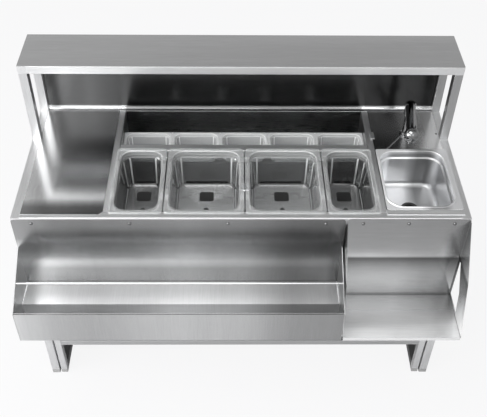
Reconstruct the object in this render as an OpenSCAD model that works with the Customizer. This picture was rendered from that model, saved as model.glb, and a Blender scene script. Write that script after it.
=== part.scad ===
// Cocktail station: a tube frame with a worktop, an ice well with lift-out pans, a sink with
// a swivel tap, an overshelf, and a double speed rail and a drop shelf bolted to its front.
// Millimetres. X runs to the right, Y to the back, Z up. The origin is on the floor, under
// the middle of the whole station with its front rail.

/* [Frame] */
// Width of the worktop frame
frame_w = 1500; // [1440:10:1700]
// Depth of the worktop frame, front to back
frame_d = 600; // [590:5:700]
// Height of the worktop frame's top face above the floor
work_h = 875; // [840:5:950]
// Side of the square tube of the frame, legs and posts
tube = 30; // [28:1:36]
// Wall of every square tube
tube_t = 1.5; // [1:0.5:3]
// Radius of the tube's outer corners
tube_r = 2.5; // [2:0.5:4]
// Thickness of the folded sheets
sheet = 2; // [1.5:0.5:3]
// Height of the foot caps
foot_h = 20; // [12:1:40]

/* [Base frame] */
// Side of the thinner tube of the inner base frame
base_tube = 25; // [20:1:30]
// Gap between an outer leg and the inner leg beside it
leg_gap = 5; // [3:0.5:12]
// Height of the top of the low cross rails above the floor
base_h = 206; // [150:2:300]
// How far the inner base frame lies behind the front of the worktop frame
base_inset = 2; // [1:1:20]

/* [Overshelf] */
// Height of the overshelf's top above the worktop frame
shelf_rise = 310; // [250:5:400]
// Depth of the overshelf
shelf_d = 195; // [150:5:205]
// Setback of the back panel from the rear face of the posts
panel_setback = 13; // [5:1:14]
// Radius of the cove along the foot of the back panel
cove_r = 15; // [8:1:16]

/* [Decks] */
// Width of the left worktop, between the side rail and the left cross rail
left_w = 265; // [200:5:340]
// Width of the two cross rails beside the well
cross_w = 23; // [20:1:30]
// How far the deck sheets lap over the cross rails
deck_lap = 1; // [0.5:0.5:4]
// How far the sink's plate and the front strip lap over the right side rail
end_lap = 11; // [4:1:14]
// How far the deck sheets lap over the front rail
front_lap = 14; // [8:1:18]
// Width of the flat bar in front of the sink's sheet
strip_w = 22; // [16:1:22]
// Depth of a deck sheet's folded skirt
skirt_h = 18; // [10:1:26]

/* [Well] */
// Width of a small pan
cup_w = 176; // [150:1:180]
// Depth of a small pan, front to back
cup_d = 108; // [90:1:112]
// Inside height of a small pan
cup_h = 65; // [40:1:90]
// Number of small pans
cup_n = 5; // [3:1:5]
// Width of the bar between the two rows of pans
bar_w = 34; // [26:1:40]
// Gap between the row of small pans and the liner at each end
cup_gap = 1; // [0.5:0.5:6]
// How far the small pans' rims lie below the frame's top
cup_drop = 35; // [20:1:60]
// Inside depth of the well liner, top to floor
well_h = 260; // [200:5:320]
// Wall of the well liner
liner_t = 2; // [1:0.5:3]
// Thickness of the insulated casing round the liner
casing_t = 15; // [8:1:25]
// Outer radius of the well drain's tail
drain_r = 16.5; // [10:0.5:20]

/* [Deep pans] */
// Width of a third-size pan
third_w = 176; // [150:1:176]
// Width of a half-size pan
half_w = 265; // [240:1:265]
// Depth of the deep pans, front to back
pan_d = 325; // [300:1:325]
// Height of the deep pans under their rim
pan_h = 150; // [65:5:200]
// Gap between neighbouring deep pans
pan_gap = 5; // [2:0.5:8]
// How far the deep pans' front rim stands behind the front of the frame
pan_front = 22; // [18:1:24]
// Width of the pans' rim
pan_lip = 15; // [12:1:18]
// Wall of the clear pans
pan_t = 3; // [2:0.5:4]

/* [Sink] */
// Width of the sink's top plate up to the right side rail
sink_w = 242; // [220:1:242]
// Depth of the sink's top plate, front to back
sink_d = 307; // [260:1:330]
// Depth of the sink bowl
sink_h = 150; // [100:5:200]
// How far the sink's top plate stands behind the front of the frame
sink_front = 38; // [32:1:60]
// Width of the sink's flat border at the bowl's left and right
sink_lip = 9; // [9:1:24]
// Width of the sink's flat border in front of its bowl and behind it
sink_ends = 14; // [12:1:24]
// Wall of the sink bowl
sink_t = 1.5; // [1:0.5:2]
// Radius of the waste's flange
waste_r = 33; // [25:1:40]
// Outer radius of the waste's tail
tail_r = 20; // [14:1:24]

/* [Tap] */
// Place of the tap across the frame, from the middle
tap_x = 599; // [560:1:620]
// Place of the tap behind the front of the frame
tap_y = 435; // [425:1:460]
// Height of the spout's centre line over the deck
spout_z = 123; // [100:1:160]
// Reach of the spout from the pillar to the ball
spout_l = 161; // [120:1:180]
// Angle that the spout stands turned to the left
spout_turn = 8; // [0:1:20]
// Radius of the spout
spout_r = 18; // [12:0.5:19]
// Radius of the ball
ball_r = 26; // [22:0.5:30]
// Length of the lever's rod
lever_l = 78; // [50:1:110]
// Radial clearance of the tap's turning fits
turn_gap = 0.05; // [0.02:0.01:0.08]

/* [Speed rail] */
// Width of the speed rail
rail_w = 1090; // [900:10:1120]
// Depth of the whole speed rail
rail_depth = 200; // [180:5:260]
// Depth of its upper tier
tier_d = 105; // [90:1:120]
// Height of the back sheet's top below the frame's top
rail_top = 6; // [3:1:10]
// Height of the upper floor below the frame's top
tier_z = 313; // [280:1:360]
// Height of the step between the two floors
tier_step = 75; // [40:1:120]
// Height of the front panel
rail_front_h = 140; // [100:1:180]
// Height of the end plates' upper corner below the frame's top
rail_cheek_z = 137; // [100:1:170]
// Radius of the retaining rod
rod_r = 4; // [3:0.5:6]

/* [Drop shelf] */
// Gap between the speed rail and the drop shelf
drop_gap = 5; // [2:1:20]
// Depth of the drop shelf
drop_d = 196; // [150:2:200]
// Height of the drop shelf's floor below the frame's top
drop_z = 383; // [300:1:450]
// Height of the drop shelf's front lip
lip_h = 14; // [8:1:30]

/* [Hidden] */
$fn = 48;

steel = [0.78, 0.79, 0.80];
bright = [0.86, 0.87, 0.88];
dark = [0.20, 0.21, 0.22];
chrome = [0.90, 0.91, 0.92];
clear = [0.86, 0.90, 0.92, 0.45];
cap_grey = [0.70, 0.71, 0.72];

// Worked-out places. y is counted from the front face of the worktop frame, and on_frame
// moves everything so that the origin lies under the middle of the whole station.
front_y = (rail_depth - frame_d) / 2;
side_x = frame_w / 2;
inner_x = side_x - tube;
frame_z = work_h - tube;
deck_top = work_h + sheet;
left_x = -inner_x + left_w;
well_x0 = left_x + cross_w;
well_w = cup_n * cup_w + 2 * cup_gap + 2 * liner_t;
well_x1 = well_x0 + well_w;
well_cx = (well_x0 + well_x1) / 2;
right_x = well_x1 + cross_w;
well_y0 = tube;
well_y1 = frame_d - tube;
shelf_z = work_h + shelf_rise;
beam_z = shelf_z - sheet - tube;
post_y = frame_d - shelf_d;
panel_y = frame_d - panel_setback - sheet;
leg_x = inner_x - leg_gap - base_tube;
base_y1 = frame_d - base_inset - base_tube;

module on_frame() {
    translate([0, front_y, 0]) children();
}

// Rectangle with round corners, its centre at the origin.
module round_rect(w, d, r) {
    square([w - 2 * r, d], center = true);
    square([w, d - 2 * r], center = true);
    for (x = [-1, 1], y = [-1, 1])
        translate([x * (w / 2 - r), y * (d / 2 - r)]) circle(r);
}

// Section of a square tube with its lower left corner at the origin.
module tube_section(a, b) {
    translate([a / 2, b / 2])
        difference() {
            round_rect(a, b, tube_r);
            square([a - 2 * tube_t, b - 2 * tube_t], center = true);
        }
}

// Tubes along each axis. a and b are the sides of the section in axis order.
module tube_z(a, b, len) {
    linear_extrude(len) tube_section(a, b);
}

module tube_x(a, b, len) {
    rotate([90, 0, 90]) linear_extrude(len) tube_section(a, b);
}

module tube_y(a, b, len) {
    translate([0, len, 0]) rotate([90, 0, 0]) linear_extrude(len) tube_section(a, b);
}

// Tube along Y with both of its ends closed by a welded plate.
module closed_tube_y(a, b, len) {
    translate([0, len, 0]) rotate([90, 0, 0])
        difference() {
            linear_extrude(len) translate([a / 2, b / 2]) round_rect(a, b, tube_r);
            translate([tube_t, tube_t, tube_t])
                cube([a - 2 * tube_t, b - 2 * tube_t, len - 2 * tube_t]);
        }
}

module both_sides() {
    children();
    mirror([1, 0, 0]) children();
}

stud_z = work_h - 23;
stud_r = 3;
stud_fit = 0.3;
rail_cx = -side_x + rail_w / 2;
rail_studs_x = [for (i = [-1.5, -0.5, 0.5, 1.5]) rail_cx + i * 0.2936 * rail_w];
drop_x0 = -side_x + rail_w + drop_gap;
drop_cx = (drop_x0 + side_x) / 2;
drop_w = side_x - drop_x0;
drop_studs_x = [for (i = [-1, 0, 1]) drop_cx + i * 0.37 * drop_w];

// Bores for the studs in a wall that stands in the plane y.
module stud_bores(places, y, r) {
    for (x = places)
        translate([x, y - sheet, stud_z]) rotate([-90, 0, 0]) cylinder(h = 3 * sheet, r = r);
}

module front_rail() {
    color(steel) on_frame()
        difference() {
            translate([-inner_x, 0, frame_z]) tube_x(tube, tube, 2 * inner_x);
            stud_bores(rail_studs_x, 0, stud_r + turn_gap);
            stud_bores(drop_studs_x, 0, stud_r + turn_gap);
        }
}

module back_rail() {
    color(steel) on_frame()
        translate([-inner_x, well_y1, frame_z]) tube_x(tube, tube, 2 * inner_x);
}

module side_rails() {
    color(steel) on_frame() both_sides()
        translate([inner_x, 0, frame_z]) closed_tube_y(tube, tube, frame_d);
}

module cross_rails() {
    color(bright) on_frame()
        for (x = [left_x, well_x1])
            translate([x, well_y0, frame_z]) tube_y(cross_w, tube, well_y1 - well_y0);
}

module outer_legs() {
    color(steel) on_frame() both_sides()
        for (y = [0, well_y1])
            translate([inner_x, y, foot_h]) tube_z(tube, tube, frame_z - foot_h);
}

// A cap closes the tube's end, with a spigot inside the tube.
module foot_cap(a) {
    fit = 0.2;
    plug = a - 2 * tube_t - 2 * fit;
    linear_extrude(foot_h) translate([a / 2, a / 2]) round_rect(a, a, tube_r);
    translate([a / 2 - plug / 2, a / 2 - plug / 2, foot_h]) cube([plug, plug, foot_h]);
}

module outer_feet() {
    color(cap_grey) on_frame() both_sides()
        for (y = [0, well_y1]) translate([inner_x, y, 0]) foot_cap(tube);
}

module inner_legs() {
    color(steel) on_frame() both_sides()
        for (y = [base_inset, base_y1])
            translate([leg_x, y, foot_h]) tube_z(base_tube, base_tube, frame_z - foot_h);
}

module inner_feet() {
    color(cap_grey) on_frame() both_sides()
        for (y = [base_inset, base_y1]) translate([leg_x, y, 0]) foot_cap(base_tube);
}

module base_rails() {
    color(steel) on_frame()
        for (y = [base_inset, base_y1])
            translate([-leg_x, y, base_h - base_tube]) tube_x(base_tube, base_tube, 2 * leg_x);
}

module base_runners() {
    y0 = base_inset + base_tube;
    color(dark) on_frame() both_sides()
        translate([leg_x, y0, 0]) tube_y(base_tube, base_tube, base_y1 - y0);
}

module base_sheets() {
    y0 = base_inset + base_tube;
    color(dark) on_frame() both_sides()
        translate([leg_x + base_tube - sheet, y0, base_tube])
            cube([sheet, base_y1 - y0, frame_z - base_tube]);
}

module shelf_posts() {
    color(steel) on_frame() both_sides()
        for (y = [post_y, well_y1])
            translate([inner_x, y, work_h]) tube_z(tube, tube, beam_z - work_h);
}

module shelf_front_beam() {
    color(bright) on_frame()
        translate([-inner_x, post_y, beam_z]) tube_x(tube, tube, 2 * inner_x);
}

module shelf_back_beam() {
    color(steel) on_frame()
        translate([-inner_x, well_y1, beam_z]) tube_x(tube, tube, 2 * inner_x);
}

module shelf_side_beams() {
    color(steel) on_frame() both_sides()
        translate([inner_x, post_y, beam_z]) closed_tube_y(tube, tube, shelf_d);
}

module shelf_top() {
    color(steel) on_frame()
        translate([0, post_y + shelf_d / 2, shelf_z - sheet])
            linear_extrude(sheet) round_rect(frame_w, shelf_d, tube_r);
}

module back_panel() {
    color(dark) on_frame()
        translate([-inner_x, panel_y, work_h]) cube([2 * inner_x, sheet, beam_z - work_h]);
}

// Concave strip that closes the corner between the worktop and the back panel.
module back_cove() {
    color(bright) on_frame()
        translate([-inner_x, panel_y - cove_r, work_h]) rotate([90, 0, 90])
            linear_extrude(2 * inner_x)
                difference() {
                    square([cove_r, cove_r]);
                    translate([-0.8, cove_r + 0.8]) circle(cove_r);
                }
}

// Flat deck over the opening from x0 to x1. lap0 and lap1 are its laps over the rails at the
// left and right, and a skirt drops inside the opening.
module deck(x0, x1, lap0, lap1, y0) {
    y1 = panel_y - cove_r - 0.3;
    w = x1 - x0;
    d = well_y1 - tube;
    fit = 0.5;
    translate([0, 0, work_h]) linear_extrude(sheet)
        translate([(x0 - lap0 + x1 + lap1) / 2, (y0 + y1) / 2])
            round_rect(w + lap0 + lap1, y1 - y0, 3);
    translate([(x0 + x1) / 2, tube + d / 2, work_h - skirt_h]) linear_extrude(skirt_h)
        difference() {
            square([w - 2 * fit, d - 2 * fit], center = true);
            square([w - 2 * fit - 2 * sheet, d - 2 * fit - 2 * sheet], center = true);
        }
}

// The front right corner of the left deck is cut off at an angle.
module left_deck() {
    cut = 14;
    color(steel) on_frame()
        difference() {
            deck(-inner_x, left_x, 0, deck_lap, tube - front_lap);
            translate([left_x + deck_lap - cut, tube - front_lap, work_h - 1]) rotate(45)
                translate([-cut, -2 * cut, 0]) cube([4 * cut, 2 * cut, sheet + 2]);
        }
}

sink_cx = right_x + deck_lap + sink_w / 2;
sink_cy = sink_front + sink_d / 2;
sink_r = 52;
sink_draft = 5;
bowl_w = sink_w - 2 * sink_lip;
bowl_d = sink_d - 2 * sink_ends;
pillar_r = 13;
tap_bore = 9;

module sink_deck() {
    cut = 2 * sink_t + 2;
    color(steel) on_frame()
        difference() {
            deck(right_x, inner_x, deck_lap, 0, tube - front_lap + strip_w);
            translate([sink_cx, sink_cy, work_h - 1]) linear_extrude(sheet + 2)
                round_rect(bowl_w + cut, bowl_d + cut, sink_r + cut / 2);
            translate([tap_x, tap_y, work_h - 1]) cylinder(h = sheet + 2, r = tap_bore + 0.5);
        }
}

// Flat bar along the front of the sink's sheet.
module front_strip() {
    color(bright) on_frame()
        translate([right_x - deck_lap, tube - front_lap, work_h])
            cube([inner_x - right_x + deck_lap + end_lap, strip_w - 0.3, sheet]);
}

// Small folded tab on the right cross rail, where the two rows of pans meet.
module cross_tab() {
    tab_y = pan_front + pan_d + 76;
    color(bright) on_frame()
        translate([well_x1 + cross_w - 8, tab_y - 18, work_h + sheet])
            cube([14, 36, sheet]);
}

module deck_screw() {
    color(dark) on_frame()
        translate([inner_x - 8, post_y + 29, deck_top]) rotate_extrude()
            intersection() {
                translate([0, -3]) circle(5);
                square([5, 3]);
            }
}

liner_z = work_h - well_h;
drain_y = (well_y0 + well_y1) / 2 + (well_y1 - well_y0) / 4;

// End sheets of the well liner.
module well_ends() {
    color(bright) on_frame()
        for (x = [well_x0, well_x1 - liner_t])
            translate([x, well_y0, liner_z]) cube([liner_t, well_y1 - well_y0, well_h - 1]);
}

// Front and back sheets of the well liner, between its end sheets.
module well_sides() {
    color(bright) on_frame()
        for (y = [well_y0, well_y1 - liner_t])
            translate([well_x0 + liner_t, y, liner_z])
                cube([well_w - 2 * liner_t, liner_t, well_h - 1]);
}

// Flat plate under the well from z0 up, spread beyond the liner by out, with the drain's hole.
module well_plate(z0, t, out) {
    difference() {
        translate([well_x0 - out, well_y0 - out, z0])
            cube([well_w + 2 * out, well_y1 - well_y0 + 2 * out, t]);
        translate([well_cx, drain_y, z0 - 1]) cylinder(h = t + 2, r = drain_r + 0.1);
    }
}

module well_floor() {
    color(bright) on_frame() well_plate(liner_z - liner_t, liner_t, 0);
}

// End walls of the insulated casing, from its floor up to the cross rails.
module casing_ends() {
    color(steel) on_frame()
        for (x = [well_x0 - casing_t, well_x1])
            translate([x, well_y0 - casing_t, liner_z - liner_t])
                cube([casing_t, well_y1 - well_y0 + 2 * casing_t, frame_z - liner_z + liner_t]);
}

// Front and back walls of the casing, between its end walls.
module casing_sides() {
    color(steel) on_frame()
        for (y = [well_y0 - casing_t, well_y1])
            translate([well_x0, y, liner_z - liner_t])
                cube([well_w, casing_t, frame_z - liner_z + liner_t]);
}

module casing_floor() {
    color(steel) on_frame() well_plate(liner_z - liner_t - casing_t, casing_t, casing_t);
}

// Flanged drain with an open bore, its tail free below the casing.
module well_drain() {
    bore = drain_r - 3;
    down = liner_t + casing_t + 60;
    color(chrome) on_frame()
        translate([well_cx, drain_y, liner_z]) rotate_extrude()
            polygon([[bore, -down], [drain_r, -down], [drain_r, 0], [drain_r + 12, 0],
                [drain_r + 12, 1], [drain_r + 9, 3], [bore, 3]]);
}

bar_y0 = pan_front + pan_d - 9;

// Bar across the well. The deep pans' rear rims rest on its front part.
module pan_bar() {
    color(bright) on_frame()
        translate([well_x0 + liner_t, bar_y0, frame_z])
            tube_x(bar_w, tube, well_w - 2 * liner_t);
}

cup_y0 = bar_y0 + bar_w + 6;
cup_rim_z = work_h - cup_drop;
cup_lip = 9;
cup_t = 2.5;

// Flat ledges in front of and behind the small pans, which hang on them by their rims.
module cup_ledges() {
    h = 20;
    w = 7;
    bite = 5;
    color(bright) on_frame()
        for (y = [cup_y0 + bite - w, cup_y0 + cup_d - bite])
            translate([well_x0 + liner_t, y, cup_rim_z - cup_t - h])
                cube([well_w - 2 * liner_t, w, h]);
}

// Points of an arc in the section, from angle a0 to a1.
function arc_pts(cx, cy, r, a0, a1, n) =
    [for (i = [0:n]) [cx + r * cos(a0 + (a1 - a0) * i / n), cy + r * sin(a0 + (a1 - a0) * i / n)]];

// Section of a pressed pan's wall. x runs outward from the axis of the corner, y up from the
// rim's top. r is the inner radius at the rim, step the drop to the stacking shoulder.
function pan_section(r, h, t, draft, rb, step, ledge) =
    let (rs = r - ledge, rf = rs - draft, zb = -h + rb)
    concat(
        [[0, -h], [rf - rb, -h]],
        arc_pts(rf - rb, zb, rb, -90, 0, 4),
        [[rs, -step], [r, -step + ledge], [r, 0], [r + t, 0], [r + t, -step + ledge - t / 2],
            [rs + t, -step - t / 2]],
        arc_pts(rf - rb, zb, rb + t, 0, -90, 4),
        [[0, -h - t]]);

// Quarter of a pan's shell: a corner, half of each side that meets it and its share of the
// floor.
module pan_quarter(cx, cy, h, t, pts) {
    translate([cx, cy, 0]) {
        rotate_extrude(angle = 90) polygon(pts);
        rotate([90, 0, 0]) linear_extrude(cy) polygon(pts);
    }
    mirror([1, -1, 0]) translate([cy, cx, 0]) rotate([90, 0, 0]) linear_extrude(cx) polygon(pts);
    translate([0, 0, -h - t]) cube([cx, cy, t]);
}

// Shell of a pan w by d inside at its rim.
module pan_shell(w, d, r, h, t, draft, rb, step, ledge) {
    pts = pan_section(r, h, t, draft, rb, step, ledge);
    module half() {
        pan_quarter(w / 2 - r, d / 2 - r, h, t, pts);
        mirror([1, 0, 0]) pan_quarter(w / 2 - r, d / 2 - r, h, t, pts);
    }
    half();
    mirror([0, 1, 0]) half();
}

// Flat rim round a pan: small outer corners, wide inner ones.
module pan_rim(w, d, lip, r_out, r_in, t) {
    translate([0, 0, -t]) linear_extrude(t)
        difference() {
            round_rect(w, d, r_out);
            round_rect(w - 2 * lip, d - 2 * lip, r_in);
        }
}

// Deep pan with its centre at x and its rim resting on the frame.
module deep_pan(x, w) {
    lift = 0.3;
    color(clear) on_frame()
        translate([x, pan_front + pan_d / 2, work_h + pan_t + lift]) {
            pan_rim(w, pan_d, pan_lip, 12, 42, pan_t);
            pan_shell(w - 2 * pan_lip, pan_d - 2 * pan_lip, 42, pan_h, pan_t, 6, 16, 28, 4);
        }
}

row_w = 2 * third_w + 2 * half_w + 3 * pan_gap;
row_x0 = well_cx - row_w / 2;

module pan_third_left() {
    deep_pan(row_x0 + third_w / 2, third_w);
}

module pan_half_left() {
    deep_pan(well_cx - (half_w + pan_gap) / 2, half_w);
}

module pan_half_right() {
    deep_pan(well_cx + (half_w + pan_gap) / 2, half_w);
}

module pan_third_right() {
    deep_pan(row_x0 + row_w - third_w / 2, third_w);
}

// Straight wall band w by d inside, from z0 up to z1.
module wall_band(w, d, r, t, z0, z1) {
    translate([0, 0, z0]) linear_extrude(z1 - z0)
        difference() {
            round_rect(w + 2 * t, d + 2 * t, r + t);
            round_rect(w, d, r);
        }
}

// Small pan number i, counted from the left: an upper band, a stacking shoulder, a lower
// band and a floor.
module small_pan(i) {
    fit = 0.4;
    r = 24;
    step = 12;
    ledge = 2.5;
    w = cup_w - fit;
    iw = w - 2 * cup_lip;
    id = cup_d - 2 * cup_lip;
    x = well_x0 + liner_t + cup_gap + (i - 0.5) * cup_w;
    color(clear) on_frame()
        translate([x, cup_y0 + cup_d / 2, cup_rim_z]) {
            pan_rim(w, cup_d, cup_lip, 8, r, cup_t);
            wall_band(iw, id, r, cup_t, -step, -cup_t);
            wall_band(iw - 2 * ledge, id - 2 * ledge, r - ledge, ledge + cup_t,
                -step - cup_t, -step);
            wall_band(iw - 2 * ledge, id - 2 * ledge, r - ledge, cup_t, -cup_h, -step - cup_t);
            translate([0, 0, -cup_h - cup_t]) linear_extrude(cup_t)
                round_rect(iw - 2 * ledge + 2 * cup_t, id - 2 * ledge + 2 * cup_t,
                    r - ledge + cup_t);
        }
}

module cup_1() {
    small_pan(1);
}

module cup_2() {
    small_pan(2);
}

module cup_3() {
    small_pan(3);
}

module cup_4() {
    small_pan(4);
}

module cup_5() {
    small_pan(5);
}

bead_w = 7;
bead_h = 2.5;
waste_z = deck_top + sheet - sink_h;
waste_hole = waste_r - 8;

// Sink bowl under a flat plate, with a raised bead round its mouth and a hole for the waste.
module sink_bowl() {
    color(bright) on_frame()
        translate([sink_cx, sink_cy, deck_top + sheet])
            difference() {
                union() {
                    translate([0, 0, -sheet]) linear_extrude(sheet) difference() {
                        translate([end_lap / 2, 0]) round_rect(sink_w + end_lap, sink_d, 6);
                        round_rect(bowl_w, bowl_d, sink_r);
                    }
                    linear_extrude(bead_h) difference() {
                        round_rect(bowl_w + 2 * bead_w, bowl_d + 2 * bead_w, sink_r + bead_w);
                        round_rect(bowl_w, bowl_d, sink_r);
                    }
                    pan_shell(bowl_w, bowl_d, sink_r, sink_h, sink_t, sink_draft, 22, 30, 5);
                }
                translate([0, 0, -sink_h - 2 * sink_t])
                    cylinder(h = 4 * sink_t, r = waste_hole + 0.1);
            }
}

// Waste body: a flange on the bowl's floor, a tail below it and an open bore.
module sink_waste() {
    bore = tail_r - 2.5;
    down = 85;
    color(chrome) on_frame()
        translate([sink_cx, sink_cy, waste_z]) rotate_extrude()
            polygon([[bore, -down], [tail_r, -down], [tail_r, -22], [waste_hole, -10],
                [waste_hole, 0], [waste_r, 0], [waste_r, 1], [waste_r - 2, 2],
                [waste_hole - 2, 1], [waste_hole - 2, -9], [bore, -20]]);
}

// Strainer basket that lifts out of the waste.
module sink_strainer() {
    r = waste_hole - 2.5;
    color(dark) on_frame()
        translate([sink_cx, sink_cy, waste_z + 1.5])
            difference() {
                rotate_extrude()
                    polygon([[0, -9], [r - 1, -9], [r, 1], [waste_r - 1, 1], [waste_r - 2, 3],
                        [r - 2, 3], [r - 3, -7], [4, -7], [4, 6], [3, 7], [0, 7]]);
                for (i = [0:7])
                    rotate(45 * i) translate([r * 0.62, 0, -10]) cylinder(h = 5, r = 2.6, $fn = 24);
            }
}

spout_top = deck_top + spout_z;
head_r = 19;
head_low = 35;
head_h = 51;
pin_l = 24;
pin_r = 8;

// Pillar on the deck, with the pin that the spout's head turns on and a threaded shank.
module tap_pillar() {
    up = spout_z - head_low;
    color(chrome) on_frame()
        translate([tap_x, tap_y, deck_top]) rotate_extrude()
            polygon([[0, -45], [tap_bore, -45], [tap_bore, 0], [pillar_r + 11, 0],
                [pillar_r + 11, 4], [pillar_r + 4, 9], [pillar_r, 14], [pillar_r, up - 0.3],
                [pin_r, up - 0.3], [pin_r, up + pin_l], [0, up + pin_l]]);
}

module tap_nut() {
    color(chrome) on_frame()
        translate([tap_x, tap_y, work_h - 9])
            difference() {
                cylinder(h = 9, r = 17, $fn = 6);
                translate([0, 0, -1]) cylinder(h = 11, r = tap_bore + 0.05);
            }
}

hub_r = 7;
hub_bore = 3;

module at_spout() {
    on_frame() translate([tap_x, tap_y, spout_top]) rotate(-spout_turn) children();
}

// Head, spout, ball and downward outlet, with a blind bore over the pillar's pin.
module tap_spout() {
    color(chrome) at_spout()
        difference() {
            union() {
                rotate_extrude() translate([0, -head_low])
                    polygon([[0, 0], [head_r - 1, 0], [head_r, 1], [head_r, head_h - 5],
                        [head_r - 5, head_h], [0, head_h]]);
                rotate([90, 0, 0]) cylinder(h = spout_l, r = spout_r);
                translate([0, -spout_l, 0]) sphere(ball_r);
                translate([0, -spout_l, 0]) rotate_extrude()
                    polygon([[0, -ball_r - 4], [14, -ball_r - 4], [14, -ball_r + 3],
                        [12, -ball_r + 5], [12, 0], [0, 0]]);
            }
            translate([0, 0, -head_low - 1]) cylinder(h = pin_l + 2, r = pin_r + turn_gap);
            translate([0, -spout_l, -ball_r - 5]) cylinder(h = 12, r = 9);
            translate([-ball_r - 1, -spout_l, 0]) rotate([0, 90, 0])
                cylinder(h = 14, r = hub_bore + turn_gap);
        }
}

// Direction of the lever's rod: to the left, to the front and a little down.
lever_turn = 51;
lever_fall = 15;

module tap_lever() {
    hub_x = -ball_r - 7.5;
    color(chrome) at_spout() translate([0, -spout_l, 0]) {
        translate([hub_x, 0, 0]) rotate([0, 90, 0]) cylinder(h = 7.2, r = hub_r);
        translate([hub_x, 0, 0]) rotate([0, 90, 0]) cylinder(h = 18, r = hub_bore);
        translate([hub_x + 3, 0, 0])
            rotate([0, 0, lever_turn]) rotate([0, -90 - lever_fall, 0]) {
                cylinder(h = lever_l, r = 2);
                translate([0, 0, lever_l]) sphere(3);
            }
    }
}

rail_z1 = work_h - rail_top;
floor_z = work_h - tier_z;
low_z = floor_z - tier_step;
cheek_z = work_h - rail_cheek_z;
lip_z = low_z + rail_front_h;
hem = 7;

// Back sheet from x0, w wide, from z0 up to z1, with round top corners.
module back_sheet(x0, w, z0, z1) {
    r = 10;
    rotate([90, 0, 0]) linear_extrude(sheet) {
        translate([x0 + r, z0]) square([w - 2 * r, z1 - z0]);
        translate([x0, z0]) square([w, z1 - z0 - r]);
        for (x = [x0 + r, x0 + w - r]) translate([x, z1 - r]) circle(r);
    }
}

// Folded sheet of the rail, seen from its left end: back, upper floor, riser, lower floor,
// front panel and the hem along its top.
module rail_sheet() {
    t = sheet;
    color(steel) on_frame()
        difference() {
            union() {
                back_sheet(-side_x, rail_w, floor_z, rail_z1);
                translate([-side_x + t, 0, 0]) rotate([90, 0, 90]) linear_extrude(rail_w - 2 * t)
                    polygon([[-t, floor_z + t],
                        [-tier_d, floor_z + t], [-tier_d, low_z + t],
                        [-rail_depth + t, low_z + t], [-rail_depth + t, lip_z - t],
                        [-rail_depth + hem, lip_z - t], [-rail_depth + hem, lip_z],
                        [-rail_depth, lip_z], [-rail_depth, low_z], [t - tier_d, low_z],
                        [t - tier_d, floor_z], [-t, floor_z]]);
            }
            stud_bores(rail_studs_x, 0, stud_r + stud_fit);
        }
}

rod_y = -tier_d + 2;
rod_z = cheek_z - (cheek_z - lip_z) * tier_d / rail_depth - rod_r - 5;

module rail_end() {
    rotate([90, 0, 90]) linear_extrude(sheet)
        difference() {
            polygon([[-sheet, cheek_z], [-rail_depth, lip_z], [-rail_depth, low_z],
                [sheet - tier_d, low_z], [sheet - tier_d, floor_z], [-sheet, floor_z]]);
            translate([rod_y, rod_z]) circle(rod_r + 0.05);
        }
}

module rail_ends() {
    color(steel) on_frame() {
        translate([-side_x, 0, 0]) rail_end();
        translate([-side_x + rail_w - sheet, 0, 0]) rail_end();
    }
}

module rail_rod() {
    color(chrome) on_frame()
        translate([-side_x, rod_y, rod_z]) rotate([0, 90, 0]) cylinder(h = rail_w, r = rod_r);
}

// Round-head stud through a sheet into the front rail.
module stud() {
    head = 6.5;
    rotate([90, 0, 0]) rotate_extrude()
        polygon(concat([[0, -12], [stud_r, -12], [stud_r, 0], [head, 0], [head, 1]],
            [for (a = [15:15:90]) [head * cos(a), 1 + 3.5 * sin(a)]]));
}

module rail_studs() {
    color(chrome) on_frame()
        for (x = rail_studs_x) translate([x, -sheet, stud_z]) stud();
}

module drop_studs() {
    color(chrome) on_frame()
        for (x = drop_studs_x) translate([x, -sheet, stud_z]) stud();
}

shelf_floor = work_h - drop_z;

drop_top = rail_z1 + 3;

module drop_sheet() {
    t = sheet;
    color(steel) on_frame()
        difference() {
            union() {
                back_sheet(drop_x0, drop_w, shelf_floor, drop_top);
                translate([drop_x0 + t, 0, 0]) rotate([90, 0, 90]) linear_extrude(drop_w - 2 * t)
                    polygon([[-t, shelf_floor + t], [-drop_d, shelf_floor + t],
                        [-drop_d, shelf_floor + t - lip_h], [t - drop_d, shelf_floor + t - lip_h],
                        [t - drop_d, shelf_floor], [-t, shelf_floor]]);
            }
            stud_bores(drop_studs_x, 0, stud_r + stud_fit);
        }
}

// Brace plate with a kinked front edge and a cut-out near the back sheet.
module drop_side() {
    knee = [-0.6 * drop_d, shelf_floor + 0.55 * drop_z];
    foot = shelf_floor + 14;
    rotate([90, 0, 90]) linear_extrude(sheet)
        difference() {
            polygon([[-sheet, drop_top - 12], [-8, drop_top - 12], knee,
                [-drop_d, shelf_floor + sheet], [-drop_d, shelf_floor], [-sheet, shelf_floor]]);
            polygon([[-9, foot], [-9, shelf_floor + 0.48 * drop_z],
                [-0.1 * drop_d, shelf_floor + 0.49 * drop_z],
                [-0.41 * drop_d, shelf_floor + 0.256 * drop_z], [-0.5 * drop_d, foot + 5],
                [-0.5 * drop_d, foot]]);
        }
}

module drop_sides() {
    color(steel) on_frame() {
        translate([drop_x0, 0, 0]) drop_side();
        translate([side_x - sheet, 0, 0]) drop_side();
    }
}

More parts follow.
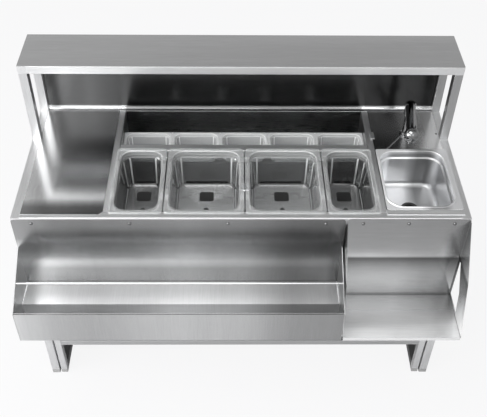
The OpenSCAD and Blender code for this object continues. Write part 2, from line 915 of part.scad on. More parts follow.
front_rail();
back_rail();
side_rails();
cross_rails();
outer_legs();
outer_feet();
inner_legs();
inner_feet();
base_rails();
base_runners();
base_sheets();
shelf_posts();
shelf_front_beam();
shelf_back_beam();
shelf_side_beams();
shelf_top();
back_panel();
back_cove();
left_deck();
sink_deck();
front_strip();
cross_tab();
deck_screw();
well_ends();
well_sides();
well_floor();
casing_ends();
casing_sides();
casing_floor();
well_drain();
pan_bar();
cup_ledges();
pan_third_left();
pan_half_left();
pan_half_right();
pan_third_right();
cup_1();
cup_2();
cup_3();
cup_4();
cup_5();
sink_bowl();
sink_waste();
sink_strainer();
tap_pillar();
tap_nut();
tap_spout();
tap_lever();
rail_sheet();
rail_ends();
rail_rod();
rail_studs();
drop_sheet();
drop_sides();
drop_studs();
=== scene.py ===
# Cocktail station in brushed stainless steel: a tube frame with an ice well, clear lift-out
# pans, a sink with a swivel tap, an overshelf, a double speed rail and a drop shelf.
import math

import bmesh
import bpy
from mathutils import Matrix, Vector


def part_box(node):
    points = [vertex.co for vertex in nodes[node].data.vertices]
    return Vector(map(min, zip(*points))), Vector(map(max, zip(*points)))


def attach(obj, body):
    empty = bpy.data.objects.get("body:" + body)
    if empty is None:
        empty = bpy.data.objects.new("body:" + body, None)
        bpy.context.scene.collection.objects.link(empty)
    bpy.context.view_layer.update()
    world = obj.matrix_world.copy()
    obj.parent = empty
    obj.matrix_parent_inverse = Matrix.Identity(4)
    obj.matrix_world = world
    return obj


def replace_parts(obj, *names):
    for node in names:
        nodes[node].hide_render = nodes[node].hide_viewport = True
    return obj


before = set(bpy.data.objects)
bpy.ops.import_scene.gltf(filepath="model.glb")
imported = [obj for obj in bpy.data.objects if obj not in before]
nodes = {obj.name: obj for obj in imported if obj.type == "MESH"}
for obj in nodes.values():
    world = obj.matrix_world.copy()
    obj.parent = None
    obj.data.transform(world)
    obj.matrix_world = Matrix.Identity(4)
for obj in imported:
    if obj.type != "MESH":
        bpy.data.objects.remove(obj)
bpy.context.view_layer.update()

# Camera and lamps. The camera looks down at the front from about 2.7 m up. A broad soft lamp at
# the left, one overhead and two small ones beside the camera light the piece.
eye = Vector((-0.026422, -1.99273, 2.671227))
look_down, turn, lean = math.radians(44.335), math.radians(-1.007), math.radians(0.761)
focal_px, frame_px, sensor_mm = 782.695, 487.0, 36.0
heading = Matrix.Rotation(turn, 3, "Z")
ahead = heading @ Vector((0.0, math.cos(look_down), -math.sin(look_down)))
right = heading @ Vector((1.0, 0.0, 0.0))
up = right.cross(ahead)
right, up = (math.cos(lean) * right + math.sin(lean) * up,
             math.cos(lean) * up - math.sin(lean) * right)
camera = bpy.data.objects.new("camera", bpy.data.cameras.new("camera"))
bpy.context.scene.collection.objects.link(camera)
camera.matrix_world = Matrix.Translation(eye) @ Matrix((right, up, -ahead)).transposed().to_4x4()
camera.data.sensor_width = sensor_mm
camera.data.lens = focal_px / frame_px * sensor_mm
camera.data.clip_end = 50.0
bpy.context.scene.camera = camera
bpy.context.scene.view_settings.view_transform = "Standard"


def soft_lamp(name, place, aim, width, height, watts):
    lamp = bpy.data.lights.new(name, "AREA")
    lamp.shape = "RECTANGLE"
    lamp.size, lamp.size_y, lamp.energy = width, height, watts
    holder = bpy.data.objects.new(name, lamp)
    bpy.context.scene.collection.objects.link(holder)
    holder.location = place
    holder.rotation_euler = (Vector(aim) - Vector(place)).to_track_quat("-Z", "Y").to_euler()


soft_lamp("lamp_left", (-3.4, -1.2, 2.2), (-0.2, 0.0, 0.8), 2.4, 2.2, 95.0)
soft_lamp("lamp_top", (-0.6, -0.6, 3.8), (0.0, 0.1, 0.8), 2.6, 1.6, 45.0)
soft_lamp("lamp_near_left", (-1.75, -2.4, 2.7), (-0.4, 0.0, 0.6), 1.8, 1.3, 19.0)
soft_lamp("lamp_near_right", (1.05, -2.4, 2.7), (0.5, 0.0, 0.6), 0.5, 1.3, 5.0)

# The studio round the piece: pale in front and at the left, dimmer behind and overhead. The
# camera itself sees a plain backdrop that is nearly white.
backdrop, studio_strength = (0.955, 0.955, 0.96, 1.0), 1.25
studio = bpy.data.worlds.new("studio")
bpy.context.scene.world = studio
studio.use_nodes = True
tree = studio.node_tree
tree.nodes.clear()
out = tree.nodes.new("ShaderNodeOutputWorld")
shade = tree.nodes.new("ShaderNodeBackground")
plain = tree.nodes.new("ShaderNodeBackground")
pick = tree.nodes.new("ShaderNodeMixShader")
path = tree.nodes.new("ShaderNodeLightPath")
coords = tree.nodes.new("ShaderNodeTexCoord")
split = tree.nodes.new("ShaderNodeSeparateXYZ")
plain.inputs["Color"].default_value = backdrop
tree.links.new(coords.outputs["Generated"], split.inputs[0])


def studio_ramp(axis, low, high, stops):
    """Greys along one axis of the studio, between two values of that coordinate."""
    lift = tree.nodes.new("ShaderNodeMapRange")
    lift.inputs["From Min"].default_value = low
    lift.inputs["From Max"].default_value = high
    ramp = tree.nodes.new("ShaderNodeValToRGB")
    ramp.color_ramp.elements[0].position = stops[0][0]
    ramp.color_ramp.elements[1].position = stops[-1][0]
    for at, grey in stops[1:-1]:
        ramp.color_ramp.elements.new(at)
    for element, (at, grey) in zip(ramp.color_ramp.elements, stops):
        element.color = (grey, grey, grey, 1.0)
    tree.links.new(split.outputs[axis], lift.inputs["Value"])
    tree.links.new(lift.outputs[0], ramp.inputs["Fac"])
    return ramp.outputs["Color"]


behind = studio_ramp("Z", 0.0, 1.0, ((0.0, 0.68), (0.30, 0.64), (0.54, 0.40),
                                     (0.68, 0.15), (0.85, 0.15), (1.0, 0.40)))
before = studio_ramp("Z", 0.0, 1.0, ((0.0, 0.64), (0.45, 0.70), (0.70, 0.86), (1.0, 0.50)))
halves = tree.nodes.new("ShaderNodeMix")
halves.data_type = "RGBA"
tree.links.new(studio_ramp("Y", -0.25, 0.25, ((0.0, 0.0), (1.0, 1.0))), halves.inputs[0])
tree.links.new(before, halves.inputs[6])
tree.links.new(behind, halves.inputs[7])
sides = tree.nodes.new("ShaderNodeMix")
sides.data_type = "RGBA"
sides.blend_type = "MULTIPLY"
sides.inputs[0].default_value = 1.0
tree.links.new(halves.outputs[2], sides.inputs[6])
across = studio_ramp("X", -1.0, 1.0, ((0.0, 1.0), (0.35, 1.0), (0.75, 0.84), (1.0, 0.75)))
tree.links.new(across, sides.inputs[7])
shade.inputs["Strength"].default_value = studio_strength
tree.links.new(sides.outputs[2], shade.inputs["Color"])
tree.links.new(path.outputs["Is Camera Ray"], pick.inputs["Fac"])
tree.links.new(shade.outputs[0], pick.inputs[1])
tree.links.new(plain.outputs[0], pick.inputs[2])
tree.links.new(pick.outputs[0], out.inputs["Surface"])

# Pale matt floor. The camera sees most of it as plain near-white, so that only a soft shadow
# of the piece shows on it.
floor_reach, glow_share = 9.0, 0.90
floor_mesh = bpy.data.meshes.new("floor")
floor_corners = [(-floor_reach, -floor_reach, 0), (floor_reach, -floor_reach, 0),
                 (floor_reach, floor_reach, 0), (-floor_reach, floor_reach, 0)]
floor_mesh.from_pydata(floor_corners, [], [(0, 1, 2, 3)])
floor = bpy.data.objects.new("floor", floor_mesh)
bpy.context.scene.collection.objects.link(floor)
floor_paint = bpy.data.materials.new("floor_paint")
floor_paint.use_nodes = True
tree = floor_paint.node_tree
matt = tree.nodes["Principled BSDF"]
matt.inputs["Base Color"].default_value = (0.62, 0.62, 0.625, 1.0)
matt.inputs["Roughness"].default_value = 0.9
matt.inputs["Specular IOR Level"].default_value = 0.1
glow = tree.nodes.new("ShaderNodeEmission")
glow.inputs["Color"].default_value = (0.985, 0.985, 0.99, 1.0)
pick = tree.nodes.new("ShaderNodeMixShader")
path = tree.nodes.new("ShaderNodeLightPath")
part_glow = tree.nodes.new("ShaderNodeMath")
part_glow.operation = "MULTIPLY"
part_glow.inputs[1].default_value = glow_share
tree.links.new(path.outputs["Is Camera Ray"], part_glow.inputs[0])
tree.links.new(part_glow.outputs[0], pick.inputs["Fac"])
tree.links.new(matt.outputs[0], pick.inputs[1])
tree.links.new(glow.outputs[0], pick.inputs[2])
tree.links.new(pick.outputs[0], tree.nodes["Material Output"].inputs["Surface"])
floor_mesh.materials.append(floor_paint)

# Frame of square stainless tube, welded at the corners and brushed along each tube. The same
# tube makes the rails, the legs and the posts.


def noise_along(tree, stretch, scale, detail):
    """Noise on object coordinates, with one stretch factor for each axis."""
    where = tree.nodes.new("ShaderNodeTexCoord")
    grain = tree.nodes.new("ShaderNodeMapping")
    grain.inputs["Scale"].default_value = stretch
    noise = tree.nodes.new("ShaderNodeTexNoise")
    noise.inputs["Scale"].default_value = scale
    noise.inputs["Detail"].default_value = detail
    tree.links.new(where.outputs["Object"], grain.inputs["Vector"])
    tree.links.new(grain.outputs["Vector"], noise.inputs["Vector"])
    return noise.outputs["Fac"]


def ranged(tree, socket, low, high, out_low, out_high):
    """The socket's value taken from one range to another."""
    rule = tree.nodes.new("ShaderNodeMapRange")
    for name, value in (("From Min", low), ("From Max", high),
                        ("To Min", out_low), ("To Max", out_high)):
        rule.inputs[name].default_value = value
    tree.links.new(socket, rule.inputs["Value"])
    return rule.outputs["Result"]


def mixed(tree, kind, factor, a, b):
    """Colour mix; a and b are sockets or plain colours, factor a socket or a number."""
    mix = tree.nodes.new("ShaderNodeMix")
    mix.data_type = "RGBA"
    mix.blend_type = kind
    mix.clamp_result = True
    for name, value in ((0, factor), (6, a), (7, b)):
        if isinstance(value, bpy.types.NodeSocket):
            tree.links.new(value, mix.inputs[name])
        else:
            mix.inputs[name].default_value = value
    return mix.outputs[2]


def greys_along(tree, axis, stops):
    """Greys set at places along one object axis, in metres."""
    where = tree.nodes.new("ShaderNodeTexCoord")
    split = tree.nodes.new("ShaderNodeSeparateXYZ")
    ramp = tree.nodes.new("ShaderNodeValToRGB")
    low, high = stops[0][0], stops[-1][0]
    ramp.color_ramp.elements[1].position = 1.0
    for at, grey in stops[1:-1]:
        ramp.color_ramp.elements.new((at - low) / (high - low))
    for element, (at, grey) in zip(ramp.color_ramp.elements, stops):
        element.color = (grey, grey, grey, 1.0)
    tree.links.new(where.outputs["Object"], split.inputs[0])
    tree.links.new(ranged(tree, split.outputs[axis], low, high, 0.0, 1.0), ramp.inputs["Fac"])
    return ramp.outputs["Color"]


def bumped(tree, skin, height, strength):
    """Relief of 0.3 mm at most from a height socket."""
    bump = tree.nodes.new("ShaderNodeBump")
    bump.inputs["Strength"].default_value = strength
    bump.inputs["Distance"].default_value = 0.0003
    tree.links.new(height, bump.inputs["Height"])
    tree.links.new(bump.outputs["Normal"], skin.inputs["Normal"])


def brushed(name, grey, grain, rough=0.30, bands=None, band_depth=0.10, relief=0.03,
            streaks=0.035):
    """Brushed stainless steel. grain names the axis or axes that the brush lines run along, and
    bands the axis along which broad soft bands run, as rolled sheet shows them. streaks is how
    much the coarser brush marks darken it."""
    along_fine, across_fine = 1.5, 110.0
    along_coarse, across_coarse = 0.6, 20.0
    along_band, across_band = 0.5, 6.0
    blueness = 1.012
    steel = bpy.data.materials.new(name)
    steel.use_nodes = True
    tree = steel.node_tree
    skin = tree.nodes["Principled BSDF"]
    fine = [along_fine if axis in grain else across_fine for axis in "XYZ"]
    coarse = [along_coarse if axis in grain else across_coarse for axis in "XYZ"]
    wide = [along_band if axis == (bands or grain[0]) else across_band for axis in "XYZ"]
    lines = noise_along(tree, fine, 9.0, 3.0)
    marks = noise_along(tree, coarse, 9.0, 3.0)
    smudge = noise_along(tree, (1.0, 1.0, 1.0), 7.0, 5.0)
    band = noise_along(tree, wide, 1.6, 2.0)
    pale, deep = ((grey * share, grey * share * blueness ** 0.5, grey * share * blueness, 1.0)
                  for share in (1.05, 0.92))
    colour = mixed(tree, "MIX", ranged(tree, lines, 0.3, 0.7, 0.0, 1.0), deep, pale)
    dim = ranged(tree, band, 0.3, 0.7, 1.0 - band_depth, 1.0)
    colour = mixed(tree, "MULTIPLY", 1.0, colour, dim)
    scored = ranged(tree, marks, 0.35, 0.65, 1.0 - streaks, 1.0)
    colour = mixed(tree, "MULTIPLY", 1.0, colour, scored)
    tree.links.new(colour, skin.inputs["Base Color"])
    skin.inputs["Metallic"].default_value = 1.0
    total = tree.nodes.new("ShaderNodeMath")
    total.operation = "ADD"
    tree.links.new(ranged(tree, lines, 0.3, 0.7, rough - 0.02, rough + 0.03), total.inputs[0])
    tree.links.new(ranged(tree, smudge, 0.40, 0.75, 0.0, 0.04), total.inputs[1])
    tree.links.new(total.outputs[0], skin.inputs["Roughness"])
    bumped(tree, skin, lines, relief)
    return steel


def finish_nodes(material, *names):
    """Gives carried-over pieces their material."""
    for name in names:
        nodes[name].data.materials.clear()
        nodes[name].data.materials.append(material)


def paint_light_and_shade_along(material, axis, tones):
    """Multiplies a material's colour by greys set along one object axis: painted light and shade.
    """
    tree = material.node_tree
    colour_in = tree.nodes["Principled BSDF"].inputs["Base Color"]
    plain = colour_in.links[0].from_socket
    tree.links.new(mixed(tree, "MULTIPLY", 1.0, plain, greys_along(tree, axis, tones)), colour_in)
    return material


def dulled(material, axis, shares):
    """Varies how much of the light a worn sheet throws back as a mirror along one axis."""
    tree = material.node_tree
    tree.links.new(greys_along(tree, axis, shares),
                   tree.nodes["Principled BSDF"].inputs["Metallic"])


tube_x = brushed("tube_brushed_across", 0.98, "X", 0.40)
tube_y = brushed("tube_brushed_deep", 0.95, "Y", 0.40)
# The upright tube of the legs is painted lighter towards the right: painted light.
tube_z_painted_light = paint_light_and_shade_along(brushed("tube_brushed_upright_painted_light", 0.84, "Z", 0.34), "X",
               ((-0.75, 1.0), (0.4, 1.0), (0.65, 1.15), (0.75, 1.15)))
bright_tube = brushed("tube_brushed_bright", 0.95, "X", 0.36)
finish_nodes(bright_tube, "front_rail")
finish_nodes(tube_x, "back_rail")
finish_nodes(tube_y, "side_rails", "cross_rails")

# Legs of the frame, of the same tube, and the thinner inner base with its low cross rails,
# runners and closed side sheets, all stainless and welded. Grey plastic caps close the tubes'
# lower ends.
finish_nodes(tube_z_painted_light, "outer_legs", "inner_legs")
finish_nodes(brushed("base_rail_steel", 0.62, "X", 0.34), "base_rails")
# The side sheets and runners are painted dark steel: painted shade under the worktop.
side_sheet_painted_shade = brushed("side_sheet_steel_painted_shade", 0.30, "Z", 0.42)
finish_nodes(side_sheet_painted_shade, "base_sheets", "base_runners")


def satin(name, grey, rough):
    """Plain satin plastic or painted piece with a fine mottle."""
    spread, fineness = 0.12, 60.0
    coat = bpy.data.materials.new(name)
    coat.use_nodes = True
    tree = coat.node_tree
    skin = tree.nodes["Principled BSDF"]
    mottle = noise_along(tree, (1.0, 1.0, 1.0), fineness, 6.0)
    low = (grey * (1 - spread),) * 3 + (1.0,)
    high = (grey * (1 + spread),) * 3 + (1.0,)
    tree.links.new(mixed(tree, "MIX", mottle, low, high), skin.inputs["Base Color"])
    tree.links.new(ranged(tree, mottle, 0.3, 0.7, rough - 0.06, rough + 0.06),
                   skin.inputs["Roughness"])
    bumped(tree, skin, mottle, 0.08)
    return coat


finish_nodes(satin("foot_cap_grey", 0.42, 0.45), "outer_feet", "inner_feet")

# Overshelf of stainless: four posts and a ring of the same tube, welded onto the worktop frame,
# under a folded top sheet that is brushed along its length.
# The posts' upright tube is painted darker towards the right: painted shade.
post_steel_painted_shade = paint_light_and_shade_along(brushed("post_brushed_upright_painted_shade", 0.84, "Z", 0.34), "X",
                   ((-0.75, 0.95), (0.4, 0.95), (0.65, 0.60), (0.75, 0.60)))
finish_nodes(post_steel_painted_shade, "shelf_posts")
finish_nodes(bright_tube, "shelf_front_beam")
finish_nodes(tube_x, "shelf_back_beam")
finish_nodes(tube_y, "shelf_side_beams")
finish_nodes(brushed("overshelf_sheet", 0.72, "X", 0.20, "X", 0.08), "shelf_top")

# Back panel of dark polished sheet between the back posts, and the bright cove along its foot,
# folded from thin strip. The cove's middle, along the well, is painted darker: a painted
# reflection of the dark well.
# The back panel's colour is painted lighter towards the left and darker towards the right: painted
# light and shade.
mirror_sheet_painted_light = paint_light_and_shade_along(brushed("back_panel_dark", 0.07, "X", 0.20, "Z", 0.2), "X",
                     ((-0.72, 1.7), (-0.35, 1.1), (0.4, 0.9), (0.72, 0.6)))
finish_nodes(mirror_sheet_painted_light, "back_panel")
well_left, well_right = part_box("well_ends")[0][0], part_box("well_ends")[1][0]
cove_steel_painted_reflection = paint_light_and_shade_along(brushed("cove_steel_painted_reflection", 0.95, "X", 0.18), "X",
                   ((-0.75, 0.95), (well_left - 0.004, 1.0), (well_left + 0.002, 0.34),
                    (well_right, 0.34), (well_right + 0.006, 0.95), (0.75, 0.95)))
finish_nodes(cove_steel_painted_reflection, "back_cove")

# Worktop sheets left and right of the well, of stainless sheet brushed front to back and dulled by
# wear beside the frame, with their small trims and one black screw. The left sheet is painted
# lighter at its left edge and in a band just behind its front, and darker along the front edge and
# towards the well: painted reflections and painted shade.
left_steel_painted_reflection = paint_light_and_shade_along(brushed("left_worktop_steel_painted_reflection", 0.82, "Y", 0.16, "Y", 0.10), "X",
                   ((-0.75, 1.20), (-0.705, 1.10), (-0.65, 0.80), (-0.58, 0.82), (-0.45, 0.66)))
paint_light_and_shade_along(left_steel_painted_reflection, "Y", ((-0.2, 0.42), (-0.15, 0.48), (-0.11, 1.20), (-0.05, 1.05), (0.05, 1.0),
                        (0.25, 1.0)))
dulled(left_steel_painted_reflection, "X", ((-0.75, 0.82), (-0.69, 0.88), (-0.58, 0.97), (-0.45, 1.0)))
finish_nodes(left_steel_painted_reflection, "left_deck")
# The right sheet is painted darker towards the well and lighter towards its right end: painted
# light and shade.
right_steel_painted_light = paint_light_and_shade_along(brushed("right_worktop_steel_painted_light", 0.82, "Y", 0.20, "Y", 0.10), "X",
                    ((0.45, 0.45), (0.55, 0.55), (0.62, 0.90), (0.75, 1.15)))
dulled(right_steel_painted_light, "X", ((0.45, 1.0), (0.57, 0.98), (0.64, 0.78), (0.75, 0.60)))
finish_nodes(right_steel_painted_light, "sink_deck")
finish_nodes(tube_y, "cross_tab")
finish_nodes(tube_x, "front_strip")
finish_nodes(satin("deck_screw_black", 0.03, 0.35), "deck_screw")

# Ice well: a liner welded from stainless sheet in an insulated casing, with a drain in its
# floor, a bar between the two rows of pans and ledges for the small ones.
# The liner's side walls are painted very dark: painted shade deep in the well.
finish_nodes(brushed("liner_steel_painted_shade", 0.18, "X", 0.26, relief=0.002, streaks=0.0), "well_sides")
finish_nodes(brushed("liner_end_steel", 0.42, "Z", 0.28, relief=0.01), "well_ends")
finish_nodes(brushed("liner_floor_steel", 0.50, "X", 0.20), "well_floor")
finish_nodes(brushed("casing_steel", 0.62, "X", 0.34),
             "casing_ends", "casing_sides", "casing_floor")
finish_nodes(tube_x, "pan_bar", "cup_ledges")


def polished(name, grey, rough):
    """Chrome plate: nearly even, with faint water marks in its gloss."""
    plate = bpy.data.materials.new(name)
    plate.use_nodes = True
    tree = plate.node_tree
    skin = tree.nodes["Principled BSDF"]
    marks = noise_along(tree, (1.0, 1.0, 1.0), 45.0, 6.0)
    deep, pale = (grey * 0.97, grey * 0.98, grey, 1.0), (grey, grey * 1.005, grey * 1.01, 1.0)
    tree.links.new(mixed(tree, "MIX", marks, deep, pale), skin.inputs["Base Color"])
    skin.inputs["Metallic"].default_value = 1.0
    tree.links.new(ranged(tree, marks, 0.4, 0.8, rough, rough + 0.07), skin.inputs["Roughness"])
    return plate


chrome = polished("chrome", 0.86, 0.05)
finish_nodes(chrome, "well_drain")


# Deep pans of clear plastic: moulded with tapered walls, a stacking shoulder, a wide round
# at the floor and a flat rim that hangs on the frame. Each lifts out.
def ring_points(w, d, r, z, steps):
    """Corners of a rectangle w by d with round corners r at height z, anticlockwise."""
    points = []
    for corner in range(4):
        cx = (w / 2 - r) * (1 if corner in (0, 3) else -1)
        cy = (d / 2 - r) * (1 if corner in (0, 1) else -1)
        for i in range(steps + 1):
            a = math.radians(90.0 * corner + 90.0 * i / steps)
            points.append((cx + r * math.cos(a), cy + r * math.sin(a), z))
    return points


def lofted(name, rings, closed_loop=False):
    """Mesh object through a list of rings of equal counts. The first and last ring are
    filled, or joined to each other."""
    verts = [p for ring in rings for p in ring]
    n = len(rings[0])
    faces = []
    last = len(rings) if closed_loop else len(rings) - 1
    for k in range(last):
        a, b = k * n, (k + 1) % len(rings) * n
        for i in range(n):
            j = (i + 1) % n
            faces.append((a + i, a + j, b + j, b + i))
    if not closed_loop:
        faces.append(tuple(reversed(range(n))))
        faces.append(tuple(range((len(rings) - 1) * n, len(rings) * n)))
    mesh = bpy.data.meshes.new(name)
    mesh.from_pydata(verts, [], faces)
    work = bmesh.new()
    work.from_mesh(mesh)
    bmesh.ops.recalc_face_normals(work, faces=work.faces)
    work.to_mesh(mesh)
    work.free()
    for face in mesh.polygons:
        face.use_smooth = True
    mesh.set_sharp_from_angle(angle=math.radians(35))
    piece = bpy.data.objects.new(name, mesh)
    bpy.context.scene.collection.objects.link(piece)
    return piece


def basin_rings(w, d, rim, r_out, r_in, depth, wall, draft, round_r, step, ledge, reach=0.0,
                bead=None, hole=0.01):
    """Rings from the hole in the floor's outside, up the outer wall, round the rim and down
    the inner wall to the hole. Metres, top of the rim at 0. rim is its width at the sides and
    at the front and back, reach what it adds at the right, and bead the rings of a raised
    bead as (distance outside the mouth, height). A shoulder of width ledge lies step below
    the rim, and below it the walls lean in by draft and end in the round of the floor."""
    corner_steps, round_steps, lip_steps = 10, 6, 3
    lip, edge = 0.002, 0.0006
    iw, id_ = w - 2 * rim[0], d - 2 * rim[1]
    rings = []

    def add(inset, z):
        rings.append(ring_points(iw - 2 * inset, id_ - 2 * inset, max(r_in - inset, 0.002), z,
                                 corner_steps))

    def edge_ring(cut, z):
        points = ring_points(w + reach - 2 * cut, d - 2 * cut, r_out - cut, z, corner_steps)
        rings.append([(x + reach / 2, y, z) for x, y, z in points])

    def hole_ring(z):
        rings.append(ring_points(2 * hole + 0.001, 2 * hole + 0.001, hole, z, corner_steps))

    low = ledge + draft
    hole_ring(-depth - wall)
    for i in range(round_steps + 1):
        a = math.radians(90.0 * i / round_steps)
        add(low - wall + (round_r + wall) * (1 - math.sin(a)),
            -depth + round_r - (round_r + wall) * math.cos(a))
    add(ledge - wall, -step - wall * 0.6)
    add(-wall, -step + ledge - wall * 0.6)
    add(-wall, -wall - 0.001)
    add(-wall - 0.001, -wall)
    edge_ring(edge, -wall)
    edge_ring(0.0, -wall + edge)
    edge_ring(0.0, -edge)
    edge_ring(edge, 0.0)
    if bead:
        for out_by, z in bead:
            add(-out_by, z)
    else:
        for i in range(lip_steps + 1):
            a = math.radians(90.0 * i / lip_steps)
            add(-lip * (1 - math.sin(a)), -lip * (1 - math.cos(a)))
    add(0.0, -step + ledge)
    add(ledge, -step)
    for i in range(round_steps + 1):
        a = math.radians(90.0 * (round_steps - i) / round_steps)
        add(low + round_r * (1 - math.sin(a)), -depth + round_r - round_r * math.cos(a))
    hole_ring(-depth)
    return rings


def placed(rings, place):
    """The rings moved to their place on the object."""
    return [[tuple(Vector(p) + place) for p in ring] for ring in rings]


def clear_plastic(name, rough, cloud_and_highlight_bands):
    """Clear moulded polycarbonate with fine wear scratches. cloud_and_highlight_bands gives its
    cloudiness as pairs of height and share, more at the rims and the floor's round; its narrow
    strongly clouded bands are painted highlight lines round the rims."""
    plastic = bpy.data.materials.new(name)
    plastic.use_nodes = True
    tree = plastic.node_tree
    skin = tree.nodes["Principled BSDF"]
    scratch = noise_along(tree, (40.0, 3.0, 3.0), 14.0, 6.0)
    tree.links.new(mixed(tree, "MIX", scratch, (0.88, 0.895, 0.90, 1.0), (0.97, 0.98, 0.98, 1.0)),
                   skin.inputs["Base Color"])
    tree.links.new(ranged(tree, scratch, 0.45, 0.8, rough, rough + 0.06),
                   skin.inputs["Roughness"])
    tree.links.new(greys_along(tree, "Z", [(at, 1 - share) for at, share in cloud_and_highlight_bands]),
                   skin.inputs["Transmission Weight"])
    skin.inputs["IOR"].default_value = 1.45
    skin.inputs["Coat Weight"].default_value = 0.4
    skin.inputs["Coat IOR"].default_value = 2.0
    skin.inputs["Coat Roughness"].default_value = 0.02
    bumped(tree, skin, scratch, 0.04)
    return plastic


def below(rim_top, stops):
    """Heights from depths below the top of a rim."""
    return [(rim_top - depth, value) for depth, value in stops]


def joined(name, pieces, body):
    """One mesh object from several, riding on a body."""
    work = bmesh.new()
    skins = []
    for piece in pieces:
        start = len(work.faces)
        work.from_mesh(piece.data)
        work.faces.ensure_lookup_table()
        for face in work.faces[start:]:
            face.material_index += len(skins)
        skins.extend(piece.data.materials)
    mesh = bpy.data.meshes.new(name)
    work.to_mesh(mesh)
    work.free()
    for skin in skins:
        mesh.materials.append(skin)
    for piece in pieces:
        bpy.data.objects.remove(piece)
    whole = bpy.data.objects.new(name, mesh)
    bpy.context.scene.collection.objects.link(whole)
    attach(whole, body)
    return whole


def streaked(shell, rings, corner_highlight_plastic, fold_painted_shade):
    """Gives the inner wall's corners two cloudy streaks each and makes the foot of the side walls
    cloudy, all painted highlights, and paints the foot of the back wall near-black as painted
    shade."""
    highlighted, shaded = 1, 2
    shell.data.materials.append(corner_highlight_plastic)
    shell.data.materials.append(fold_painted_shade)
    count = len(rings[0])
    quarter = count // 4
    wall = len(rings) - 9  # band of faces under the shoulder; the floor's round follows it
    for band in (wall, wall + 1, wall + 2):
        for corner in range(4):
            for segment in (2, 7):
                face = shell.data.polygons[band * count + corner * quarter + segment]
                face.material_index = highlighted
    for corner, band, mark in ((0, wall + 1, shaded), (0, wall + 2, shaded),
                               (1, wall + 3, highlighted), (3, wall + 3, highlighted)):
        side = corner * quarter + quarter - 1
        shell.data.polygons[band * count + side].material_index = mark


def pan_shell(name, shape, plastic, corner_highlight_plastic, fold_painted_shade):
    """Shell of one pan, hung by its rim, and the point in the middle of its mouth."""
    low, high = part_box(name)
    middle = Vector(((low[0] + high[0]) / 2, (low[1] + high[1]) / 2, high[2]))
    rings = basin_rings(high[0] - low[0], high[1] - low[1], **shape)
    shell = lofted(name + "_shell", placed(rings, middle))
    shell.data.materials.append(plastic)
    streaked(shell, rings, corner_highlight_plastic, fold_painted_shade)
    return shell, middle


pan_shape = {"rim": (0.015, 0.015), "r_out": 0.012, "r_in": 0.042, "depth": 0.150, "wall": 0.003,
             "draft": 0.006, "round_r": 0.016, "step": 0.028, "ledge": 0.004}
panel_w, panel_d, panel_r, panel_back = 0.052, 0.048, 0.008, 0.072
gate_r, gate_back = 0.009, 0.004
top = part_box("pan_half_left")[1][2]
# The two narrow strongly clouded bands, 16 mm under the rim top and at the rim's edge, are painted
# highlight lines.
pan_plastic = clear_plastic("pan_clear", 0.02, below(top, (
    (0.156, 0.12), (0.149, 0.12), (0.135, 0.06), (0.035, 0.06), (0.027, 0.14), (0.0175, 0.14),
    (0.0165, 0.60), (0.0155, 0.60), (0.0145, 0.18), (0.0027, 0.18), (0.0022, 0.75),
    (0.0008, 0.75), (0.0004, 0.21), (0.0, 0.21))))
# The pans' colour is painted dark in a band 142 to 147 mm under the rim top, at the round of the
# floor: painted shade.
paint_light_and_shade_along(pan_plastic, "Z", below(top, ((0.156, 1.0), (0.1485, 1.0), (0.147, 0.30), (0.142, 0.30),
                                    (0.138, 0.95), (0.0, 1.0))))
# The narrow pans are a copy of the pan plastic painted darker below the rim: painted shade.
third_plastic_painted_shade = paint_light_and_shade_along(pan_plastic.copy(), "Z", below(top, ((0.156, 0.55), (0.03, 0.60),
                                                           (0.02, 1.0), (0.0, 1.0))))
third_plastic_painted_shade.name = "pan_clear_narrow_painted_shade"
# The cloudy streaks at the pans' corners and wall feet are painted highlights; the near-black fold
# faces are painted shade.
corner_highlight_plastic = clear_plastic("pan_corner_painted_highlight", 0.05, below(top, (
    (0.156, 0.45), (0.10, 0.55), (0.03, 0.75), (0.0, 0.4))))
fold_painted_shade = satin("pan_fold_painted_shade", 0.02, 0.30)
panel_plastic = satin("pan_floor_panel", 0.012, 0.45)
for name in ("pan_third_left", "pan_half_left", "pan_half_right", "pan_third_right"):
    shell, middle = pan_shell(name, pan_shape, third_plastic_painted_shade if "third" in name else pan_plastic,
                              corner_highlight_plastic, fold_painted_shade)
    # a blank moulded panel and the round mark of the mould's gate, both on the floor
    panel = lofted(name + "_panel", placed(
        [ring_points(panel_w - 2 * cut, panel_d - 2 * cut, panel_r - cut,
                     -pan_shape["depth"] + rise, 5)
         for cut, rise in ((0.0, -0.001), (0.0, 0.0004), (0.0004, 0.0007))],
        middle + Vector((0.0, panel_back, 0.0))))
    gate = lofted(name + "_gate", placed(
        [ring_points(2 * r + 0.0004, 2 * r + 0.0004, r, -pan_shape["depth"] + rise, 5)
         for r, rise in ((gate_r, -0.001), (gate_r, 0.0006), (gate_r - 0.002, 0.0010))],
        middle + Vector((0.0, gate_back, 0.0))))
    for piece in (panel, gate):
        piece.data.materials.append(panel_plastic)
    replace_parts(joined(name + "_moulding", [shell, panel, gate], name + "_body"), name)

# Small pans behind the bar, moulded of the same clear plastic and lower in the well. They hang
# on the ledges by their rims and lift out too.
cup_shape = {"rim": (0.009, 0.009), "r_out": 0.008, "r_in": 0.024, "depth": 0.065,
             "wall": 0.0025, "draft": 0.003, "round_r": 0.010, "step": 0.012, "ledge": 0.0025}
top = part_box("cup_1")[1][2]
# The strongly clouded band at the cup rim's edge is a painted highlight line.
cup_plastic = clear_plastic("cup_clear", 0.03, below(top, (
    (0.070, 0.56), (0.060, 0.56), (0.052, 0.34), (0.014, 0.40), (0.0024, 0.52), (0.0020, 0.85),
    (0.0008, 0.85), (0.0004, 0.52), (0.0, 0.52))))
